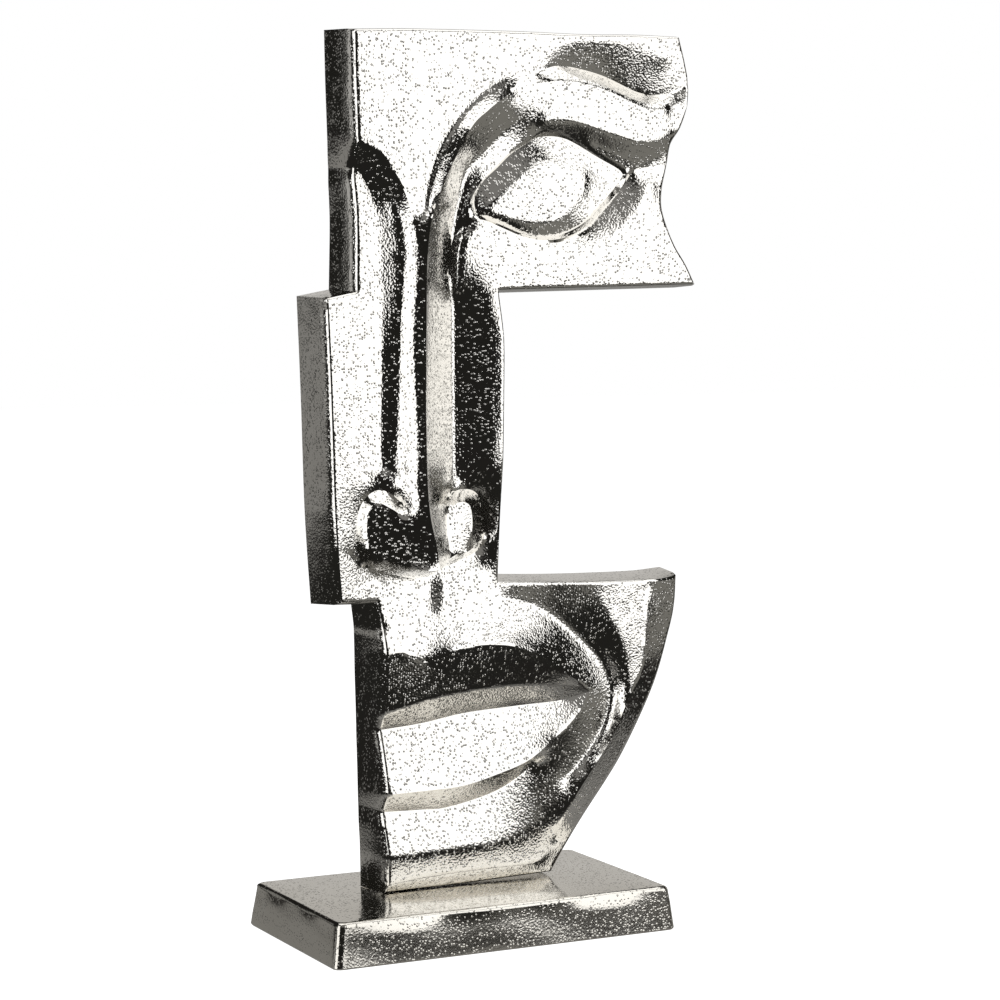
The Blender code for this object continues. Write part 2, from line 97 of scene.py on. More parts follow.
# The carving: named lines of (x, z, proud) that its surface runs through. Crisp
# lines stay sharp, soft ones are rounded over.
CRISP_LINES = {
    "nose and brow crest": [
        (-28.5, 178.5, 21.5), (-30.5, 192, 21), (-33.5, 214, 18.5), (-32.5, 254, 13),
        (-30, 299, 8), (-28, 348, 6), (-22, 376, 6.5), (-4, 411, 6.5), (8, 423, 6),
        (21, 432, 4.5), (34, 442, 1.5), (47, 447, -2), (60, 449, -4.5), (84, 445, -6.5),
        (109, 436, -6.5), (126, 436, -5), (135, 439, -3.5)],
    "left brow arch": [
        (-64, 405, -1), (-53, 400, 0), (-46, 390, 0.5), (-39, 378, 1.5), (-34, 362, 3),
        (-31, 346, 4.5)],
    "upper lid": [
        (0, 365, -3), (2, 375, -3), (9, 386, -3), (18, 394, -3.5), (27, 402, -4),
        (37, 408, -4), (46, 412, -3.5), (62, 411, -3), (83, 401, -3), (100, 393, -4)],
    "lid corner crease": [(100, 393, -4), (111, 394, -4.5), (122, 395.5, -4)],
    "lower lid": [
        (0, 365, -3), (5, 365, -1.5), (11, 364, -1), (21, 360, -0.5), (32, 356, 0),
        (44, 354, 0), (56, 355, 0), (67, 359, 0), (76, 365, 0), (86, 375, -0.5),
        (96, 385, -2), (100, 393, -4)],
    "eyeball edge": [
        (6, 368.6, -4.6), (5.5, 375.5, -5.5), (10.5, 385.2, -5.5), (19.2, 392.9, -5.5),
        (28, 400.8, -5.5), (37.6, 406.5, -5.5), (46.3, 410.3, -5.5), (61.6, 409.3, -5),
        (82.3, 399.4, -5), (96.5, 392.2, -5.5), (94.6, 386.8, -4.5), (85, 376.4, -3.5),
        (75, 366.3, -3), (66.3, 360.6, -3), (55.6, 356.7, -3), (44.3, 355.7, -3),
        (32.7, 357.6, -3), (21.8, 361.6, -3.3), (11.6, 365.4, -4), (6, 368.6, -4.6)],
    "hollow under the lid": [
        (50, 352.6, -0.8), (57, 353.2, -2.4), (68, 357.4, -4), (77.3, 363.6, -5.5),
        (87.4, 373.7, -6), (97.5, 383.7, -6), (102.5, 391, -5.5)],
    "tear line": [(-9, 336, -8.5), (-7, 353, -7.5), (-3, 361, -5.5), (0, 365, -3)],
    "nose base lip": [
        (-61.7, 183.5, 7.5), (-56.6, 183, 11), (-51, 182.4, 13), (-43.5, 179.8, 18),
        (-35.4, 178.2, 21.5), (-28.5, 178.3, 21.5), (-22, 180, 14), (-15.4, 182.4, 6),
        (-8.5, 184.6, 2.5), (-2.4, 185.2, 1.5), (3.5, 187.5, -2), (9.5, 191, -6.5),
        (14, 194, -9.5)],
    "under the nose": [
        (-72, 187, -1), (-66, 180.5, -2), (-59.2, 178.5, -4), (-53.6, 177, -6),
        (-41.9, 173.5, -7), (-31.3, 171.3, -8), (-20.5, 172, -8), (-14.4, 175, -8),
        (-7.1, 178, -8), (-1, 180, -8.5), (8.7, 184.5, -9), (15, 190.5, -8)],
    "left nostril": [
        (-61.7, 183.5, 7.5), (-63.8, 191.4, 5), (-63.6, 202, 4), (-61.5, 210, 4),
        (-57.3, 214, 5), (-52.8, 212, 8), (-48.4, 208.8, 11), (-45.7, 204.7, 13.5)],
    "left nostril rim": [
        (-64.5, 182, -1.5), (-66.6, 192, -1.2), (-67, 202.6, -1), (-64.6, 212.5, -1),
        (-59.6, 218.5, -0.5), (-53.8, 220.5, 0.5), (-47.7, 218, 2.5), (-43.7, 212, 6.5)],
    "right nostril": [
        (-14, 186, 3.5), (-14.8, 196, 2), (-14.3, 206, 1), (-9.7, 211.2, 1),
        (-5.1, 212.4, 1.5), (-0.9, 210.1, 1.5), (0.6, 202.4, 1.5), (0, 194.2, 1.5),
        (-2.2, 187.5, 1.5)],
    "right nostril rim": [
        (-12, 213.5, -7), (-6, 217, -9), (0.6, 218.5, -10), (7.6, 217, -10.5),
        (12.5, 211, -10.5), (14.7, 202, -10), (14, 194, -9.5)],
    "upper lip edge": [
        (-49.5, 132, 2), (-42, 133, 2.5), (-28, 127.5, 1.5), (-14, 132, 4),
        (1, 134, 5.5), (12, 134, 6), (25, 132, 6), (43, 125, 4.5), (58, 115, 2),
        (70, 108, -1), (76, 103, -2.5)],
    "upper lip foot": [
        (-49, 100, -1.5), (-37, 103, -0.5), (-25, 106, 0), (2.5, 109, 0), (28, 110, 0),
        (61.4, 107.6, -1.5), (76, 103, -2.5)],
    "lower lip top": [
        (-48.5, 89.5, -9.5), (-24.7, 91.4, -9.5), (0.8, 95.1, -9.5), (32.7, 97, -9),
        (57.6, 98.5, -6), (69, 101, -4), (76, 103, -2.5)],
    "lower lip edge": [
        (76, 103, -2.5), (66, 90, -0.5), (52, 79, 1), (36, 68, 1), (18, 62, 1),
        (-4, 57, 1), (-26, 56, 1), (-47.5, 55.5, 0)],
    "under lip groove": [
        (-47.5, 44.5, -8.5), (-27, 44, -8), (-10, 44, -8), (17, 50, -7), (33, 58, -6),
        (42, 65, -5.5)],
    "chin edge": [
        (-47, 5.5, -3), (-25.6, 7.6, -3), (-3, 8.7, -3), (26.8, 8.8, -3.5),
        (41.8, 9.2, -4.5), (49.2, 11.8, -5.5), (56.7, 20.9, -6.5)],
    "jaw edge": [
        (113, 162.5, -1.6), (111, 149, -0.4), (109, 127, 1), (107, 114, 1.6),
        (98, 98, 2.4), (89, 79, 2.4), (81, 67, 1.6), (66, 45, -0.5), (56, 28, -4)],
}
SOFT_LINES = {
    "forehead beside the crest": [
        (-26, 368, 1), (-22, 388, 0.5), (-13, 409, 0.5), (4, 429, 0.5), (21, 443, 0.5),
        (36, 451, 0.5)],
    "temple hollow rim": [
        (46, 454, 0), (58, 462, 0), (83, 464, 0), (107, 462, 0), (123, 456, 0)],
    "groove beside the nose": [
        (-5.5, 224, -11), (-5.5, 252, -11), (-5.5, 298, -11), (-6, 322, -10),
        (-7.5, 342, -9), (-7, 357, -8), (-4, 373, -7), (0, 391, -5.5), (10, 401, -4),
        (19, 410, -3), (28, 417, -1.5), (40, 422, 0)],
    "brow band top": [
        (28, 431, 2), (38, 436, 2), (50, 440, 2.5), (62, 441, 2.5), (83, 437, 2.5),
        (106, 428, 2.5), (122, 427, 1.5)],
    "brow band low": [
        (44, 418, 2), (53.4, 418.6, 2.5), (65.8, 417.8, 3), (78.3, 414.3, 3),
        (90.9, 411.3, 3), (103.7, 408.3, 2.5), (116, 410, 1.5), (125, 413, 0)],
    "brow band foot": [
        (78, 408, -2), (91, 402, -2.5), (104, 398.5, -3), (118, 400, -3.5)],
    "eyeball swell": [
        (9, 369, -0.8), (20, 379, 0), (32, 388, 0.2), (43, 396.5, -0.3), (56, 392.5, -0.2),
        (70.5, 387, -0.4), (64, 376, 0.5), (55, 365.5, 0.2), (42, 363, 0.4), (30, 363.5, 0.2),
        (19, 365.5, -0.2), (9, 369, -0.8)],
    "eyeball top": [(30, 374, 1), (45, 379, 1.4), (58, 378, 1)],
    "hollow's outer rim": [
        (62, 343, 0), (74, 346.5, 0), (87, 353.5, 0), (98, 364, 0), (108, 375.5, -0.3),
        (114, 386, -1.2)],
    "cheek panel rim": [
        (-5, 327, -4), (-6, 339, -3), (-5, 349, -2), (0, 357, -1.5), (8, 360.5, -1)],
    "cheek panel": [
        (5, 331, -2.5), (8, 342, -1), (37, 341, 0), (76, 336, 0), (108, 345, 0),
        (120, 360, -1)],
    "column right roll": [(13, 321, -1.2), (14, 300, -1.5), (14, 267, -1.5), (14, 229, -2)],
    "left hollow floor": [
        (-62, 393, -9), (-59, 387, -8), (-55, 378, -6.5), (-52, 359, -5),
        (-51.5, 322, -3.6), (-51.5, 290, -3), (-51.6, 254, -2), (-51.5, 232, -1)],
    "nose left foot": [
        (-44, 375, -5), (-40, 363, -3.8), (-39, 342, -2.6), (-40.5, 322, -2.2),
        (-42, 299, -1.2), (-43.5, 254, 2), (-44.5, 230, 3.8)],
    "nose left shoulder": [
        (-33, 342, 4.2), (-34.4, 322, 5.2), (-36, 299, 6.3), (-37.2, 254, 11),
        (-38.5, 228, 14.5), (-39, 208, 17)],
    "muzzle": [(-48, 148, -2), (-29, 149, -3), (-11, 153, -2.5), (7, 152, -2), (22, 146, -1)],
    "philtrum groove": [(-20.5, 168, -8), (-21.5, 160, -6.3), (-23.5, 153, -4)],
    "philtrum ridge": [(-13.5, 168, -5.6), (-14.5, 160, -3.9), (-16.5, 153, -2.2)],
    "smile fold": [
        (23, 157, -5), (42, 153, -6), (56, 145, -6.5), (70, 134, -7), (84, 121, -7),
        (91, 109, -7), (92, 97, -6.5), (89, 84, -6), (78, 70, -5), (61, 55, -4)],
    "smile fold outer rim": [
        (76, 161.5, -1.6), (87, 146, -0.3), (96, 124, 1), (97.5, 107, 1.8), (93, 89, 1.8)],
    "chin": [(-46, 21, -2.2), (-11, 22, -2.2), (20, 23, -2.4), (43, 31, -3.2)],
}


def spaced(points, step):
    """A smooth line through the points, as rows of x, z, proud about a step apart."""
    pts = [np.array(p, float) for p in points]
    pts = [2 * pts[0] - pts[1]] + pts + [2 * pts[-1] - pts[-2]]
    out = []
    for i in range(1, len(pts) - 2):
        a, b, c, d = pts[i - 1], pts[i], pts[i + 1], pts[i + 2]
        n = max(1, int(round(math.dist(b[:2], c[:2]) / step)))
        for k in range(n):
            t = k / n
            q = 0.5 * (2 * b + (c - a) * t + (2 * a - 5 * b + 4 * c - d) * t ** 2
                       + (3 * b - a - 3 * c + d) * t ** 3)
            q[2] = b[2] + (c[2] - b[2]) * t
            out.append(q)
    out.append(pts[-2])
    return out


def front_edge(step):
    """The closed front edge, and the outward draft of each of its points."""
    ring, side_of = [], []
    for number, (points, draft) in enumerate(SIDES):
        run = spaced(points, step)[:-1]
        ring += run
        side_of += [number] * len(run)
    count = len(ring)
    drafts = []
    for i in range(count):
        before, here, after = ring[i - 1], ring[i], ring[(i + 1) % count]
        d1, d2 = SIDES[side_of[i - 1]][1], SIDES[side_of[i]][1]
        n1 = np.array([-(here[1] - before[1]), here[0] - before[0]])
        n2 = np.array([-(after[1] - here[1]), after[0] - here[0]])
        n1 /= np.linalg.norm(n1)
        n2 /= np.linalg.norm(n2)
        cross = n1[0] * n2[1] - n1[1] * n2[0]
        if abs(cross) > 0.6:
            move = np.linalg.solve(np.array([n1, n2]), np.array([d1, d2]))
        else:
            mid = n1 + n2
            move = mid / np.linalg.norm(mid) * (d1 + d2) / 2
        drafts.append(move)
    return np.array(ring), np.array(drafts)


def inside(points, ring):
    """Which of the points lie inside the ring."""
    x, z = points[:, 0], points[:, 1]
    hit = np.zeros(len(points), bool)
    for (x1, z1), (x2, z2) in zip(ring, np.roll(ring, -1, axis=0)):
        if z1 == z2:
            continue
        spans = (z1 > z) != (z2 > z)
        hit ^= spans & (x < (x2 - x1) * (z - z1) / (z2 - z1) + x1)
    return hit


def conjugate(rows, cols, weight, free, start, extra, pull):
    """Settle the free heights on a net of springs, some also pulled to a height."""
    count = len(start)
    diag = np.bincount(rows, weight, count) + np.bincount(cols, weight, count) + extra

    def spread(v):
        out = diag * v
        out -= np.bincount(rows, weight * v[cols], count)
        out -= np.bincount(cols, weight * v[rows], count)
        return out

    height = start.copy()
    rest = np.where(free, extra * pull - spread(height), 0.0)
    near = np.where(free, rest / diag, 0.0)
    step = near.copy()
    old = rest @ near
    for _ in range(1500):
        if old < 1e-10:
            break
        moved = np.where(free, spread(step), 0.0)
        size = old / (step @ moved)
        height += size * step
        rest -= size * moved
        near = np.where(free, rest / diag, 0.0)
        new = rest @ near
        step = near + (new / old) * step
        old = new
    return height


def carved_net(pitch):
    """The carved front as points (x, z, proud) and triangles; the edge comes first."""
    ring, drafts = front_edge(pitch)
    points = [tuple(p) for p in ring]
    kind = ["crisp"] * len(points)
    edges = [(i, (i + 1) % len(ring)) for i in range(len(ring))]
    near_edge = kdtree.KDTree(len(ring))
    for i, p in enumerate(ring):
        near_edge.insert((p[0], p[1], 0), i)
    near_edge.balance()
    for lines, name in ((CRISP_LINES, "crisp"), (SOFT_LINES, "soft")):
        for line in lines.values():
            last = None
            run = np.array(spaced(line, pitch * 0.85))
            for p, within in zip(run, inside(run[:, :2], ring[:, :2])):
                far = near_edge.find((p[0], p[1], 0))[2]
                if far < 0.22 * pitch or not within:
                    last = None
                    continue
                points.append(tuple(p))
                kind.append(name)
                if last is not None:
                    edges.append((last, len(points) - 1))
                last = len(points) - 1
    tree = kdtree.KDTree(len(points))
    for i, p in enumerate(points):
        tree.insert((p[0], p[1], 0), i)
    tree.balance()
    left, low = ring[:, :2].min(axis=0)
    right, high = ring[:, :2].max(axis=0)
    inner = []
    for inset in EDGE_ROWS:
        for i, p in enumerate(ring):
            along = ring[(i + 1) % len(ring)] - ring[i - 1]
            length = math.hypot(along[0], along[1])
            spot = (p[0] + along[1] / length * inset, p[1] - along[0] / length * inset, 0)
            if near_edge.find(spot)[2] > 0.9 * inset and tree.find(spot)[2] > 0.3 * pitch:
                inner.append(spot)
    rows = np.arange(low, high, pitch * 0.866)
    grid = np.array([(x + (k % 2) * pitch / 2, z) for k, z in enumerate(rows)
                     for x in np.arange(left, right, pitch)])
    grid = grid[inside(grid, ring[:, :2])]
    clear = EDGE_ROWS[-1] + 0.5 * pitch
    grid = [g for g in grid if tree.find((g[0], g[1], 0))[2] > 0.62 * pitch
            and near_edge.find((g[0], g[1], 0))[2] > clear]
    known = len(points)
    flat = [Vector(p[:2]) for p in points + inner] + [Vector(g) for g in grid]
    verts, _, faces, origin, _, _ = delaunay_2d_cdt(flat, edges, [], 1, 1e-4)
    x = np.array([v[0] for v in verts])
    z = np.array([v[1] for v in verts])
    height = np.zeros(len(verts))
    pinned = np.zeros(len(verts), bool)
    sharp = np.zeros(len(verts), bool)
    front = [0] * len(ring)
    for i, names in enumerate(origin):
        for n in names:
            if n < len(ring):
                front[n] = i
        given = [n for n in names if n < known]
        if given:
            height[i] = points[given[0]][2]
            pinned[i] = True
            sharp[i] = any(kind[n] == "crisp" for n in given)
    tris = np.array([f for f in faces if len(f) == 3])
    a, b, c = tris.T
    rows, cols, weight = [], [], []
    area = np.zeros(len(verts))
    for i, j, k in ((a, b, c), (b, c, a), (c, a, b)):
        ux, uz, vx, vz = x[i] - x[k], z[i] - z[k], x[j] - x[k], z[j] - z[k]
        twice = np.abs(ux * vz - uz * vx) + 1e-9
        rows.append(i)
        cols.append(j)
        weight.append(np.clip((ux * vx + uz * vz) / twice, 0.02, 8) / 2)
        area += np.bincount(k, twice / 6, len(verts))
    rows, cols, weight = map(np.concatenate, (rows, cols, weight))
    none = np.zeros(len(verts))
    height = conjugate(rows, cols, weight, ~pinned, height, none, none)
    pull = area / SOFTNESS ** 2
    height = conjugate(rows, cols, weight, ~sharp, height, pull, height)
    return ring, drafts, front, x, z, height, tris


def face_mesh():
    """The whole casting as one closed mesh, and how much each point is rubbed smooth."""
    ring, drafts, front, x, z, height, tris = carved_net(MESH_PITCH)
    face_plane = BACK_PLANE - SLAB_THICKNESS
    edge = kdtree.KDTree(len(ring))
    for i, p in enumerate(ring):
        edge.insert((p[0], p[1], 0), i)
    edge.balance()
    gap = np.array([edge.find((a, b, 0))[2] for a, b in zip(x, z)])
    height = height - EDGE_ROLL * np.clip(1 - gap / EDGE_ROWS[-1], 0, 1) ** 2
    crests = [p for line in CRISP_LINES.values() for p in spaced(line, 0.8)]
    lines = kdtree.KDTree(len(crests))
    for i, p in enumerate(crests):
        lines.insert((p[0], p[1], 0), i)
    lines.balance()
    near = np.array([lines.find((a, b, 0))[2] for a, b in zip(x, z)])
    rubbed = LINE_RUBBED * np.clip(1.3 - near / RUBBED_REACH, 0, 1)
    rubbed = np.maximum(rubbed, EDGE_RUBBED * np.clip(1.4 - gap / RUBBED_REACH, 0, 1))
    verts = [(x[i] * MM, (face_plane - height[i]) * MM, (z[i] + SEAT) * MM)
             for i in range(len(x))]
    faces = []
    for a, b, c in tris:
        turn = (x[b] - x[a]) * (z[c] - z[a]) - (z[b] - z[a]) * (x[c] - x[a])
        faces.append((a, b, c) if turn > 0 else (a, c, b))
    rings = [front]
    for share, level in ((CHAMFER_SHARE, None), (1.0, BACK_PLANE)):
        start = len(verts)
        for p, move in zip(ring, drafts):
            y = face_plane - p[2] + CHAMFER_DEPTH if level is None else level
            spot = (p[0] + move[0] * share, y, p[1] + move[1] * share + SEAT)
            verts.append(tuple(v * MM for v in spot))
        rings.append(list(range(start, start + len(ring))))
    count = len(ring)
    for outer, inner in zip(rings[1:], rings[:-1]):
        for i in range(count):
            j = (i + 1) % count
            faces.append((inner[i], inner[j], outer[j], outer[i]))
    faces.append(tuple(reversed(rings[-1])))
    return verts, faces, list(rubbed) + [WALL_RUBBED] * (len(verts) - len(rubbed))


def add_piece(name, verts, faces, rubbed=None):
    """A new object from points and faces, with where its skin is rubbed smooth."""
    mesh = bpy.data.meshes.new(name)
    mesh.from_pydata(verts, [], faces)
    if rubbed is not None:
        mask = mesh.attributes.new("rubbed", "FLOAT", "POINT")
        mask.data.foreach_set("value", rubbed)
    shape = bmesh.new()
    shape.from_mesh(mesh)
    bmesh.ops.triangulate(shape, faces=[f for f in shape.faces if len(f.verts) > 4])
    bmesh.ops.recalc_face_normals(shape, faces=shape.faces)
    shape.to_mesh(mesh)
    shape.free()
    mesh.shade_smooth()
    mesh.set_sharp_from_angle(angle=SHARP_ANGLE)
    piece = bpy.data.objects.new(name, mesh)
    bpy.context.scene.collection.objects.link(piece)
    return piece


def cast_grain():
    """A node group for the sand-cast skin: round raised grains, fine tooth, slow waves."""
    group = bpy.data.node_groups.new("cast_grain", "ShaderNodeTree")
    socket = group.interface.new_socket
    socket("Place", in_out="INPUT", socket_type="NodeSocketVector")
    for label, value in (("Scale", 720.0), ("Grain", 1.0), ("Tooth", 0.45),
                         ("Waves", 1.0), ("Rubbed", 0.0)):
        entry = socket(label, in_out="INPUT", socket_type="NodeSocketFloat")
        entry.default_value = value
    socket("Height", in_out="OUTPUT", socket_type="NodeSocketFloat")
    socket("Patch", in_out="OUTPUT", socket_type="NodeSocketFloat")
    nodes, links = group.nodes, group.links
    given, out = nodes.new("NodeGroupInput"), nodes.new("NodeGroupOutput")

    def put(slot, value):
        if isinstance(value, float):
            slot.default_value = value
        else:
            links.new(value, slot)

    def math_node(kind, a, b):
        node = nodes.new("ShaderNodeMath")
        node.operation = kind
        put(node.inputs[0], a)
        put(node.inputs[1], b)
        return node.outputs[0]

    def noise(scale, detail):
        node = nodes.new("ShaderNodeTexNoise")
        node.inputs["Detail"].default_value = detail
        put(node.inputs["Scale"], scale)
        links.new(given.outputs["Place"], node.inputs["Vector"])
        return node.outputs["Fac"]

    def ramp(value, low, high, top=1.0):
        node = nodes.new("ShaderNodeMapRange")
        node.interpolation_type = "SMOOTHSTEP"
        node.inputs["From Min"].default_value = low
        node.inputs["From Max"].default_value = high
        node.inputs["To Max"].default_value = top
        links.new(value, node.inputs["Value"])
        return node.outputs["Result"]

    cells = nodes.new("ShaderNodeTexVoronoi")
    links.new(given.outputs["Place"], cells.inputs["Vector"])
    links.new(given.outputs["Scale"], cells.inputs["Scale"])
    dome = ramp(cells.outputs["Distance"], 0.5, 0.08)
    chance = nodes.new("ShaderNodeSeparateXYZ")
    links.new(cells.outputs["Color"], chance.inputs["Vector"])
    patch = noise(30.0, 3.0)
    crowd = math_node("ADD", chance.outputs["X"], ramp(patch, 0.35, 0.65, 0.3))
    grain = math_node("MULTIPLY", dome, ramp(crowd, 0.42, 1.1))
    tooth = noise(math_node("MULTIPLY", given.outputs["Scale"], 1.25), 0.5)
    keep = math_node("SUBTRACT", 1.0, given.outputs["Rubbed"])
    fine = math_node("ADD", math_node("MULTIPLY", grain, given.outputs["Grain"]),
                     math_node("MULTIPLY", tooth, given.outputs["Tooth"]))
    fine = math_node("MULTIPLY", fine, keep)
    slow = math_node("MULTIPLY", math_node("MULTIPLY", noise(62.0, 1.2), 3.0),
                     given.outputs["Waves"])
    links.new(math_node("ADD", fine, slow), out.inputs["Height"])
    links.new(patch, out.inputs["Patch"])
    return group


def cast_metal(name, colour, dark, roughness, relief, grain_group, **settings):
    """Bright nickel skin over a sand casting, a little darker in patches."""
    material = bpy.data.materials.new(name)
    material.use_nodes = True
    nodes, links = material.node_tree.nodes, material.node_tree.links
    shader = nodes["Principled BSDF"]
    shader.inputs["Metallic"].default_value = 1.0
    place = nodes.new("ShaderNodeTexCoord")
    grain = nodes.new("ShaderNodeGroup")
    grain.node_tree = grain_group
    links.new(place.outputs["Object"], grain.inputs["Place"])
    mask = nodes.new("ShaderNodeAttribute")
    mask.attribute_name = "rubbed"
    links.new(mask.outputs["Fac"], grain.inputs["Rubbed"])
    for label, value in settings.items():
        grain.inputs[label].default_value = value
    tint = nodes.new("ShaderNodeMix")
    tint.data_type = "RGBA"
    tint.inputs["A"].default_value = (*dark, 1)
    tint.inputs["B"].default_value = (*colour, 1)
    links.new(grain.outputs["Patch"], tint.inputs["Factor"])
    links.new(tint.outputs["Result"], shader.inputs["Base Color"])
    shader.inputs["Roughness"].default_value = roughness
    bump = nodes.new("ShaderNodeBump")
    bump.inputs["Strength"].default_value = 1.0
    bump.inputs["Distance"].default_value = relief * MM
    links.new(grain.outputs["Height"], bump.inputs["Height"])
    links.new(bump.outputs["Normal"], shader.inputs["Normal"])
    return material


grain_group = cast_grain()
face = add_piece("cast_face", *face_mesh())
face.data.materials.append(cast_metal(
    "nickel_on_casting", FACE_BRIGHT, FACE_DULL, FACE_ROUGHNESS, FACE_GRAIN_HEIGHT,
    grain_group, Waves=0.45))
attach(face, "root")
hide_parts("face")

# The plinth: a low sand-cast block with sloping sides, its edges worn round and a
# little wavy. It carries the face and stands on the table on its flat underside.
PLINTH_LENGTH = 200.0     # along X, at its top
PLINTH_DEPTH = 114.6      # along Y, at its top
PLINTH_HEIGHT = 24.0
PLINTH_DRAFT = 2.8        # each side leans out by this much towards the underside
PLINTH_EDGE = 2.4         # rounding of its edges
PLINTH_STEP = 2.5         # spacing of the rows that carry its waviness
EDGE_WAVE = 0.35          # how far an edge strays, always inwards
PLINTH_CORNER = 4.0       # rounding of its four corners, seen from above
PLINTH_FOOT = 1.0         # small bevel where its sides meet the underside
PLINTH_BRIGHT = (0.78, 0.755, 0.70)
PLINTH_DULL = (0.62, 0.595, 0.54)
PLINTH_ROUGHNESS = 0.12
PLINTH_GRAIN_HEIGHT = 0.12


def plinth_outline():
    """The plinth's plan at its top, as points with round corners."""
    half_x, half_y, round_off = PLINTH_LENGTH / 2, PLINTH_DEPTH / 2, PLINTH_CORNER
    points = []
    for sx, sy, turn in ((1, -1, -90), (1, 1, 0), (-1, 1, 90), (-1, -1, 180)):
        cx, cy = sx * (half_x - round_off), sy * (half_y - round_off)
        for k in range(5):
            angle = math.radians(turn + k * 22.5)
            points.append((cx + round_off * math.cos(angle), cy + round_off * math.sin(angle)))
    dense = []
    for (x1, y1), (x2, y2) in zip(points, points[1:] + points[:1]):
        n = max(1, round(math.dist((x1, y1), (x2, y2)) / PLINTH_STEP))
        dense += [(x1 + (x2 - x1) * k / n, y1 + (y2 - y1) * k / n) for k in range(n)]
    return dense


def stray(x, y, phase):
    """A smooth wander between 0 and 1 along an edge, as hand fettling leaves it."""
    return 0.5 + 0.25 * math.sin(x * 0.11 + y * 0.07 + phase) + 0.25 * math.sin(
        x * 0.047 - y * 0.13 + 2.1 * phase)


def plinth_mesh():
    """The plinth as one closed mesh: a sloping side in rows, then a rounded top edge."""
    base = plinth_outline()
    verts, faces, rows = [], [], []
    side = PLINTH_HEIGHT - PLINTH_EDGE - PLINTH_FOOT
    profile = [(PLINTH_DRAFT - PLINTH_FOOT, 0.0), (PLINTH_DRAFT, PLINTH_FOOT)]
    profile += [(PLINTH_DRAFT * (1 - t), PLINTH_FOOT + t * side) for t in (0.33, 0.66)]
    for k in range(6):
        angle = math.radians(90 * k / 5)
        out = -PLINTH_EDGE * (1 - math.cos(angle))
        profile.append((out, PLINTH_HEIGHT - PLINTH_EDGE * (1 - math.sin(angle))))
    for number, (out, level) in enumerate(profile):
        row = []
        for x, y in base:
            wander = EDGE_WAVE * stray(x, y, 0.9 * number) if 0 < number else 0.0
            grow_x = (PLINTH_LENGTH / 2 + out - wander) / (PLINTH_LENGTH / 2)
            grow_y = (PLINTH_DEPTH / 2 + out - wander) / (PLINTH_DEPTH / 2)
            row.append(len(verts))
            verts.append((x * grow_x * MM, y * grow_y * MM, level * MM))
        rows.append(row)
    for low, high in zip(rows, rows[1:]):
        for i in range(len(base)):
            j = (i + 1) % len(base)
            faces.append((low[i], low[j], high[j], high[i]))
    faces.append(tuple(rows[-1]))
    faces.append(tuple(reversed(rows[0])))
    return verts, faces


plinth = add_piece("cast_plinth", *plinth_mesh())
plinth.data.materials.append(cast_metal(
    "nickel_on_plinth", PLINTH_BRIGHT, PLINTH_DULL, PLINTH_ROUGHNESS, PLINTH_GRAIN_HEIGHT,
    grain_group, Grain=1.2, Tooth=0.25, Waves=0.06))
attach(plinth, "root")
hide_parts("plinth")

# The studio: a white floor and background as the camera sees them, three soft boxes, and the
# darker room that the bright metal mirrors, as zones of the world and as painted reflection zones
# on the floor. The camera has a 100 mm lens and stands a little to the left of the front.
FLOOR_REACH = 6.0
corners = [(x * FLOOR_REACH, y * FLOOR_REACH, 0) for x, y in ((-1, -1), (1, -1), (1, 1), (-1, 1))]
floor_mesh = bpy.data.meshes.new("floor")
floor_mesh.from_pydata(corners, [], [(0, 1, 2, 3)])
floor = bpy.data.objects.new("floor", floor_mesh)
bpy.context.scene.collection.objects.link(floor)
# Painted reflection: for every ray but the camera's, the floor glows in these colours so that the
# metal mirrors them, dark close in front and to the left, grey further out ahead and to the
# right, pale behind
REFLECTION_PAINTED_AHEAD = (0.016, 0.0155, 0.014, 1)
REFLECTION_PAINTED_RIGHT = (0.2, 0.195, 0.18, 1)
REFLECTION_PAINTED_BEHIND = (0.24, 0.235, 0.225, 1)
paper = bpy.data.materials.new("white_floor_painted_reflection")
paper.use_nodes = True
nodes, links = paper.node_tree.nodes, paper.node_tree.links
matt = nodes["Principled BSDF"]
matt.inputs["Base Color"].default_value = (0.5, 0.5, 0.5, 1)
matt.inputs["Roughness"].default_value = 0.9
matt.inputs["Specular IOR Level"].default_value = 0.0
matt.inputs["Emission Color"].default_value = (1, 1, 1, 1)
matt.inputs["Emission Strength"].default_value = 1.0
painted_reflection = nodes.new("ShaderNodeEmission")
spot = nodes.new("ShaderNodeTexCoord")


def stretch(direction, start, end):
    """A soft step from 0 to 1 across the floor between two distances along a direction."""
    along = nodes.new("ShaderNodeVectorMath")
    along.operation = "DOT_PRODUCT"
    along.inputs[1].default_value = direction
    links.new(spot.outputs["Object"], along.inputs[0])
    step = nodes.new("ShaderNodeMapRange")
    step.interpolation_type = "SMOOTHSTEP"
    step.inputs["From Min"].default_value = start
    step.inputs["From Max"].default_value = end
    links.new(along.outputs["Value"], step.inputs["Value"])
    return step.outputs["Result"]


def joined(kind, a, b):
    """Two floor masks combined by one math operation."""
    node = nodes.new("ShaderNodeMath")
    node.operation = kind
    links.new(a, node.inputs[0])
    links.new(b, node.inputs[1])
    return node.outputs[0]


